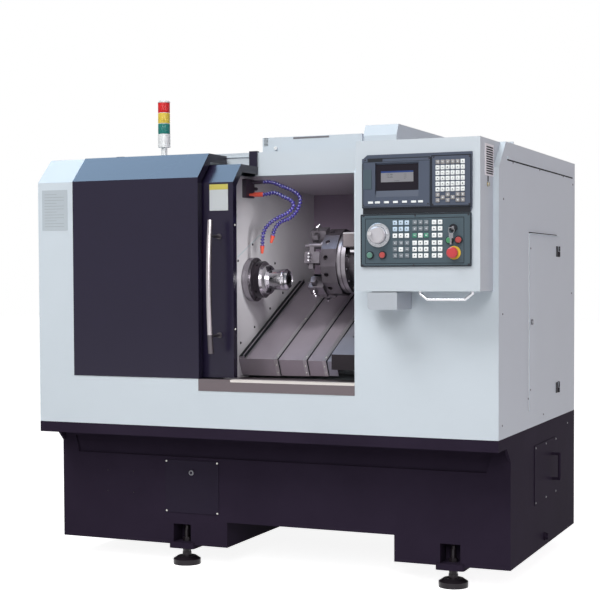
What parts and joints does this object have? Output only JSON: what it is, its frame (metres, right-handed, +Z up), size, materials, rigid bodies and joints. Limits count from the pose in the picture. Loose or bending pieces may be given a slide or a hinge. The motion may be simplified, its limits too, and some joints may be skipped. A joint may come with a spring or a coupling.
{
  "type": "cnc turning lathe",
  "caption": "Slant-bed turning lathe in a sheet enclosure with sliding door, tool turret, control box and signal tower.",
  "frame": {"origin": "on the floor, under the middle of the machine's bounding box", "axes": "+X to the right along the spindle, +Y from the operator to the rear, +Z up"},
  "size_m": [2.038, 1.5418, 2.012],
  "materials": {
    "base_black": "semi-gloss black",
    "enclosure_light": "smooth light grey paint",
    "cover_dark": "gloss charcoal paint",
    "inner_sheet": "satin grey paint",
    "stainless": "brushed",
    "way_steel": "fine brushed, oiled",
    "cast": "painted grey casting",
    "motor_black": "satin black",
    "spindle_steel": "ground and polished",
    "black_oxide": "black oxide",
    "belt_rubber": "matt",
    "screen_slate": "fine-grained slate",
    "panel_slate": "satin slate blue",
    "key_white": "satin",
    "box_light": "smooth light grey paint",
    "green_cap": "gloss",
    "red_cap": "gloss",
    "dial_black": "satin",
    "key_metal": "polished",
    "lamp_white": "satin white",
    "lens": "translucent coloured",
    "hose_blue": "gloss violet blue",
    "nozzle_red": "gloss",
    "distributor": "satin dark"
  },
  "bodies": {
    "machine": {"base_frame": "base_black", "base_front_cover": "base_black", "base_side_cover": "base_black", "levelling_feet": "black_oxide", "front_panel": "enclosure_light", "fixed_cover": "cover_dark", "header_beam": "cover_dark", "sill_strip": "stainless", "roof_panel": "enclosure_light", "left_side_panel": "enclosure_light", "right_side_panel": "enclosure_light", "rear_panel": "enclosure_light", "headstock_wall": "inner_sheet", "inner_liner": "inner_sheet", "chip_tray": "inner_sheet", "bed": "cast", "z_drive": "motor_black", "headstock": "cast", "spindle_motor": "motor_black", "drive_belt": "belt_rubber", "way_cover_1": "way_steel", "way_cover_right": "way_steel", "control_box": "box_light", "display_unit": "screen_slate", "mdi_keypad": "key_white", "operator_panel": "panel_slate", "accessory_pod": "box_light", "grab_handle": "stainless", "tower_base": "lamp_white", "tower_lenses": "lens", "coolant_manifold": "distributor", "coolant_hose_upper": "hose_blue", "coolant_hose_lower": "hose_blue", "hose_nozzles": "nozzle_red"},
    "sliding_door": {"door": "cover_dark", "door_handle": "stainless"},
    "access_door": {"side_door": "enclosure_light"},
    "spindle": {"spindle_shaft": "spindle_steel", "chuck_body": "black_oxide", "nose_sleeve": "spindle_steel", "collet": "spindle_steel", "spindle_pulley": "cast"},
    "motor_rotor": {"motor_pulley": "cast"},
    "saddle": {"carriage": "cast", "carriage_cover": "way_steel", "x_drive": "motor_black"},
    "cross": {"cross_slide": "cast", "turret_housing": "cast"},
    "turret": {"turret_disc": "spindle_steel", "tool_holders": "black_oxide"},
    "cover_two": {"way_cover_2": "way_steel"},
    "cover_three": {"way_cover_3": "way_steel"},
    "cover_middle": {"way_cover_mid": "way_steel"},
    "start": {"start_button": "green_cap"},
    "hold": {"hold_button": "red_cap"},
    "power_on": {"power_on_button": "green_cap"},
    "power_off": {"power_off_button": "red_cap"},
    "estop": {"estop_button": "red_cap"},
    "mode_key": {"switch_key": "key_metal"},
    "handwheel": {"handwheel_dial": "dial_black"}
  },
  "joints": [
    {"name": "door_slide", "type": "slide", "parent": "machine", "child": "sliding_door", "axis": [1, 0, 0], "range_m": [0, 0.545]},
    {"name": "access_door_hinge", "type": "hinge", "parent": "machine", "child": "access_door", "pos_m": [0.9875, 0.408, 1], "axis": [0, 0, 1], "range_deg": [0, 110]},
    {"name": "spindle_spin", "type": "hinge", "parent": "machine", "child": "spindle", "pos_m": [-0.519, -0.222, 1.203], "axis": [1, 0, 0], "continuous": true},
    {"name": "motor_spin", "type": "hinge", "parent": "machine", "child": "motor_rotor", "pos_m": [-0.779, 0.163, 1.135], "axis": [1, 0, 0], "continuous": true},
    {"name": "carriage_feed", "type": "slide", "parent": "machine", "child": "saddle", "axis": [1, 0, 0], "range_m": [-0.01, 0.25]},
    {"name": "cross_feed", "type": "slide", "parent": "saddle", "child": "cross", "axis": [0, 0.8988, 0.4384], "range_m": [-0.025, 0.125]},
    {"name": "turret_index", "type": "hinge", "parent": "cross", "child": "turret", "pos_m": [0.161, -0.07819, 1.27314], "axis": [1, 0, 0], "continuous": true},
    {"name": "cover_two_slide", "type": "slide", "parent": "machine", "child": "cover_two", "axis": [1, 0, 0], "range_m": [-0.004, 0.085]},
    {"name": "cover_three_slide", "type": "slide", "parent": "machine", "child": "cover_three", "axis": [1, 0, 0], "range_m": [-0.007, 0.168]},
    {"name": "cover_middle_slide", "type": "slide", "parent": "machine", "child": "cover_middle", "axis": [1, 0, 0], "range_m": [-0.006, 0.126]},
    {"name": "start_press", "type": "slide", "parent": "machine", "child": "start", "axis": [0, 1, 0], "range_m": [0, 0.003], "stiffness_N_per_m": 600, "springref_m": -0.002},
    {"name": "hold_press", "type": "slide", "parent": "machine", "child": "hold", "axis": [0, 1, 0], "range_m": [0, 0.003], "stiffness_N_per_m": 600, "springref_m": -0.002},
    {"name": "power_on_press", "type": "slide", "parent": "machine", "child": "power_on", "axis": [0, 1, 0], "range_m": [0, 0.003], "stiffness_N_per_m": 600, "springref_m": -0.002},
    {"name": "power_off_press", "type": "slide", "parent": "machine", "child": "power_off", "axis": [0, 1, 0], "range_m": [0, 0.003], "stiffness_N_per_m": 600, "springref_m": -0.002},
    {"name": "estop_press", "type": "slide", "parent": "machine", "child": "estop", "axis": [0, 1, 0], "range_m": [0, 0.006], "stiffness_N_per_m": 1500, "springref_m": -0.003},
    {"name": "key_turn", "type": "hinge", "parent": "machine", "child": "mode_key", "pos_m": [0.865, -0.719, 1.388], "axis": [0, 1, 0], "range_deg": [0, 90]},
    {"name": "handwheel_turn", "type": "hinge", "parent": "machine", "child": "handwheel", "pos_m": [0.58, -0.719, 1.366], "axis": [0, 1, 0], "continuous": true}
  ],
  "couplings": [
    {"joint": "motor_spin", "follows": "spindle_spin", "ratio": 1.4286},
    {"joint": "cover_two_slide", "follows": "carriage_feed", "ratio": 0.33333},
    {"joint": "cover_three_slide", "follows": "carriage_feed", "ratio": 0.66667},
    {"joint": "cover_middle_slide", "follows": "carriage_feed", "ratio": 0.5}
  ]
}
